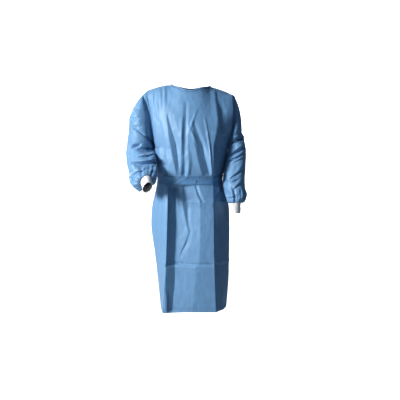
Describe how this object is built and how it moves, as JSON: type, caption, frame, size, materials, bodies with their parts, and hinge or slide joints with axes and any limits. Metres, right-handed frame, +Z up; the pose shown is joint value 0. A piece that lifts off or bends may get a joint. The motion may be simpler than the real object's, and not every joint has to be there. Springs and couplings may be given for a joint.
{
  "type": "surgical gown",
  "caption": "Long-sleeved wraparound gown in its worn hollow shape, with knitted cuffs, a bound round neck and a belt tied behind.",
  "frame": {"origin": "midway between the two neck points of the shoulder seams, where the wearer's shoulders carry the gown", "axes": "+X to the wearer's left, -Y out of the gown's front, +Z up"},
  "size_m": [0.6149, 0.3982, 1.1242],
  "materials": {
    "gown_cloth": "smooth non-woven",
    "belt_cloth": "smooth non-woven",
    "binding_cloth": "smooth non-woven tape",
    "cuff_knit": "ribbed knit",
    "fastener_tape": "hook and loop"
  },
  "bodies": {
    "root": {"front": "gown_cloth", "back_left": "gown_cloth", "back_right": "gown_cloth", "sleeve_left": "gown_cloth", "sleeve_right": "gown_cloth", "belt": "belt_cloth", "belt_knot": "belt_cloth", "belt_tail_left": "belt_cloth", "belt_tail_right": "belt_cloth", "neck_binding": "binding_cloth", "cuff_left": "cuff_knit", "cuff_right": "cuff_knit", "fastener_hook": "fastener_tape", "fastener_loop": "fastener_tape"}
  },
  "joints": []
}
